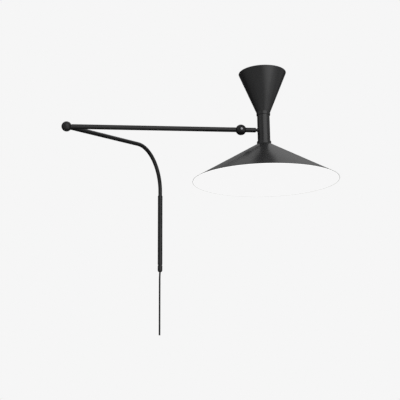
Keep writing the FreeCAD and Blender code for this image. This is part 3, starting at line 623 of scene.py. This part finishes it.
def spun_shade(end):
    """A spun cone on a short foot, black outside and white inside, with a rounded edge."""
    low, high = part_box(f"shade_{end.name}")
    radius = (high.x - low.x) / 2
    neck_end, rim = end.reach("shade")
    foot, foot_top = end.foot_radius, end.foot_top
    wall, hole, set_back = 1.0 * MM, 16.6 * MM, 0.25 * MM
    slope = Vector((radius - foot, rim - foot_top)).normalized()
    inward = Vector((-slope.y, slope.x))
    edge = Vector((radius, rim)) + inward * wall / 2 - slope * (wall / 2 + set_back)
    start = math.degrees(math.atan2(-inward.y, -inward.x))
    corners = [
        (hole, neck_end, 0.2 * MM),
        (foot, neck_end, 1.2 * MM),
        (foot, foot_top, 1.5 * MM),
        *arc(edge, wall / 2, start, start + 180, 6),
        (foot - wall, foot_top + 0.5 * MM, 0.8 * MM),
        (foot - wall, neck_end + wall, 0.4 * MM),
        (hole, neck_end + wall, 0.2 * MM),
    ]
    foot_corner = Vector((foot, foot_top))

    def is_inside(point):
        if point.y > foot_top:
            return (point - foot_corner).dot(inward) > wall * 0.68
        return point.x < foot - wall * 0.5 and point.y > neck_end + wall * 0.5

    end.lathe("shade_cone", "shade", corners, "shade_paint", [black_paint, end.white],
              radius=0, inside=is_inside, segments=192)


def ring_nut(end):
    """The moulded ring that clamps the shade, with grip ribs round it."""
    bottom, top = end.reach("shade_ring")
    end.lathe("ring_nut", "shade_ring", [
        (16.55 * MM, bottom),
        (20.8 * MM, bottom),
        (20.8 * MM, top, 0.8 * MM),
        (16.55 * MM, top, 0.6 * MM),
    ], "holder_plastic", [thermoset], ribs=(36, 0.7 * MM, 20 * MM), segments=288)


def lamp_holder(end):
    """A moulded lamp holder with a stepped barrel and a rounded mouth."""
    back, front = end.reach("lamp_holder")
    outer, cavity, nipple = 13.5 * MM, 7.2 * MM, 5.0 * MM
    corners = [
        (nipple, back),
        (outer - 2 * MM, back, 0.6 * MM),
        (outer, back + 2 * MM, 0.6 * MM),
        (outer, back + 7 * MM, 0.2 * MM),
    ]
    for groove in range(3):
        level = back + (8 + 2.4 * groove) * MM
        corners += [
            (outer - 0.8 * MM, level, 0.2 * MM),
            (outer - 0.8 * MM, level + 0.9 * MM, 0.2 * MM),
            (outer, level + 1.2 * MM, 0.2 * MM),
            (outer, level + 2.1 * MM, 0.2 * MM),
        ]
    corners += [
        (outer - 0.6 * MM, back + 16 * MM, 0.3 * MM),
        (outer - 0.6 * MM, front, 1.2 * MM),
        (cavity, front, 0.8 * MM),
        (cavity, back + 8 * MM),
        (0, back + 8 * MM, 0),
        (0, back + 4 * MM, 0),
        (nipple, back + 4 * MM, 0),
    ]
    end.lathe("holder_barrel", "lamp_holder", corners, "holder_plastic", [thermoset])


def lamp_cap(end):
    """The rolled screw cap of a small lamp, with its contact."""
    foot, top = end.reach("lamp_cap")
    cap = 6.9 * MM
    corners = [
        (0, foot, 0),
        (2.2 * MM, foot, 0.5 * MM),
        (2.6 * MM, foot + 1 * MM, 0.2 * MM),
        (4.6 * MM, foot + 2 * MM, 0.4 * MM),
        (cap - 0.7 * MM, foot + 3 * MM, 0.4 * MM),
    ]
    turns, pitch = 5, 2.8 * MM
    for turn in range(turns):
        level = foot + 4 * MM + pitch * turn
        corners += [(cap - 0.8 * MM, level, 0.7 * MM), (cap, level + pitch / 2, 0.7 * MM)]
    corners += [
        (cap - 0.6 * MM, foot + 4 * MM + pitch * turns, 0.6 * MM),
        (cap, top, 0.3 * MM),
        (0, top, 0),
    ]
    end.lathe("lamp_screw_cap", "lamp_cap", corners, "lamp_cap_metal", [aluminium])


def lamp_glass(end):
    """An opal globe whose throat runs smoothly into its cap."""
    foot, tip = end.reach("lamp_glass")
    globe, cap, throat = 22.5 * MM, 6.9 * MM, 10.5 * MM
    centre = tip - globe
    start = -math.degrees(math.acos(throat / globe))
    corners = [
        (0, foot, 0),
        (cap, foot, 0.5 * MM),
        (cap + 0.6 * MM, foot + 2.5 * MM, 2 * MM),
        *arc((0, centre), globe, start, 90, 28),
    ]
    end.lathe("lamp_globe", "lamp_glass", corners, "opal_glass", [opal_glass])


def furnish_head():
    """Shade, ring, holder and lamp at each end of the neck."""
    ends = (
        End("lower", -UP, 23.2 * MM, 47.8 * MM, white_wide),
        End("upper", UP, 22.4 * MM, 60.5 * MM, white_narrow),
    )
    for end in ends:
        spun_shade(end)
        ring_nut(end)
        lamp_holder(end)
        lamp_cap(end)
        lamp_glass(end)


# ---------------------------------------------------------------- stage and lights
BACKDROP = 0.922
ROOM_LEVEL = 0.03
FLOOR_GLOW = 0.85
# Each soft panel: azimuth round from the front, elevation, the angles where it is full and gone,
# and its level.
PANELS = (
    (22.0, 20.0, 24.0, 42.0, 1.45),
    (50.0, -34.0, 10.0, 45.0, 0.75),
    (-25.0, -36.0, 10.0, 50.0, 0.40),
    (-60.0, 35.0, 5.0, 50.0, 0.30),
    (172.0, 52.0, 14.0, 40.0, 0.30),
    (120.0, 50.0, 5.0, 40.0, 0.25),
    (0.0, 90.0, 0.0, 60.0, 0.30),
    (-80.0, 5.0, 5.0, 45.0, 0.22),
    (88.0, 5.0, 5.0, 45.0, 0.25),
)


def make_stage():
    """A wide pale floor, well below the light, that only the camera sees."""
    mesh = bpy.data.meshes.new("floor")
    side, level = 20.0, -4.5
    corners = [(-side, -side, level), (side, -side, level), (side, side, level), (-side, side, level)]
    mesh.from_pydata(corners, [], [(0, 1, 2, 3)])
    floor = bpy.data.objects.new("floor", mesh)
    n = Nodes("floor")
    tone = n.colours(n.noise(3.0, 3.0), (0.80, 0.80, 0.80), (0.81, 0.81, 0.81))
    n.link(tone, n.shader.inputs["Base Color"])
    n.link(tone, n.shader.inputs["Emission Color"])
    n.set(Roughness=0.9, Emission_Strength=FLOOR_GLOW)
    mesh.materials.append(n.material)
    bpy.context.scene.collection.objects.link(floor)
    floor.visible_diffuse = False
    floor.visible_glossy = False
    floor.visible_shadow = False


def make_world():
    """A pale backdrop for the camera, and soft studio panels round the light for everything else."""
    world = bpy.data.worlds.new("studio")
    bpy.context.scene.world = world
    world.use_nodes = True
    tree = world.node_tree
    tree.nodes.clear()

    def add(kind, **settings):
        node = tree.nodes.new(kind)
        for key, value in settings.items():
            setattr(node, key, value)
        return node

    direction = add("ShaderNodeTexCoord").outputs["Generated"]
    total = None
    for azimuth, elevation, inner, outer, level in PANELS:
        turn, rise = math.radians(azimuth), math.radians(elevation)
        axis = (math.sin(turn) * math.cos(rise), -math.cos(turn) * math.cos(rise), math.sin(rise))
        facing = add("ShaderNodeVectorMath", operation="DOT_PRODUCT")
        tree.links.new(direction, facing.inputs[0])
        facing.inputs[1].default_value = axis
        fade = add("ShaderNodeMapRange", interpolation_type="SMOOTHSTEP")
        fade.inputs["From Min"].default_value = math.cos(math.radians(outer))
        fade.inputs["From Max"].default_value = math.cos(math.radians(inner))
        fade.inputs["To Max"].default_value = level
        tree.links.new(facing.outputs["Value"], fade.inputs["Value"])
        joined = add("ShaderNodeMath", operation="ADD")
        joined.inputs[1].default_value = ROOM_LEVEL
        if total:
            tree.links.new(total, joined.inputs[1])
        tree.links.new(fade.outputs["Result"], joined.inputs[0])
        total = joined.outputs["Value"]

    cast = add("ShaderNodeBackground")
    tree.links.new(total, cast.inputs["Strength"])
    cast.inputs["Color"].default_value = (1, 1, 1, 1)
    shown = add("ShaderNodeBackground")
    shown.inputs["Color"].default_value = (BACKDROP, BACKDROP, BACKDROP, 1)
    choose = add("ShaderNodeMixShader")
    tree.links.new(add("ShaderNodeLightPath").outputs["Is Camera Ray"], choose.inputs[0])
    tree.links.new(cast.outputs[0], choose.inputs[1])
    tree.links.new(shown.outputs[0], choose.inputs[2])
    output = add("ShaderNodeOutputWorld")
    tree.links.new(choose.outputs[0], output.inputs["Surface"])


def cap_whites():
    """Nothing in the picture gets whiter than the backdrop."""
    view = bpy.context.scene.view_settings
    view.view_transform = "Standard"
    view.use_curve_mapping = True
    mapping = view.curve_mapping
    curve = mapping.curves[3]
    curve.points[1].location = (BACKDROP, BACKDROP)
    curve.points.new(1.0, BACKDROP)
    for point in curve.points:
        point.handle_type = "VECTOR"
    mapping.extend = "HORIZONTAL"
    mapping.update()


paint_cad_nodes()
make_camera()
supply_cord()
top_collar()
bottom_cap()
cord_grip()
lock_screws()
pivot_screw("elbow_screw", "elbow_pivot_screw", "bent_arm", elbow, UP)
pivot_screw("knuckle_screw", "knuckle_pivot_screw", "stem", knuckle, -across_arm)
neck_screw()
furnish_head()
make_stage()
make_world()
cap_whites()
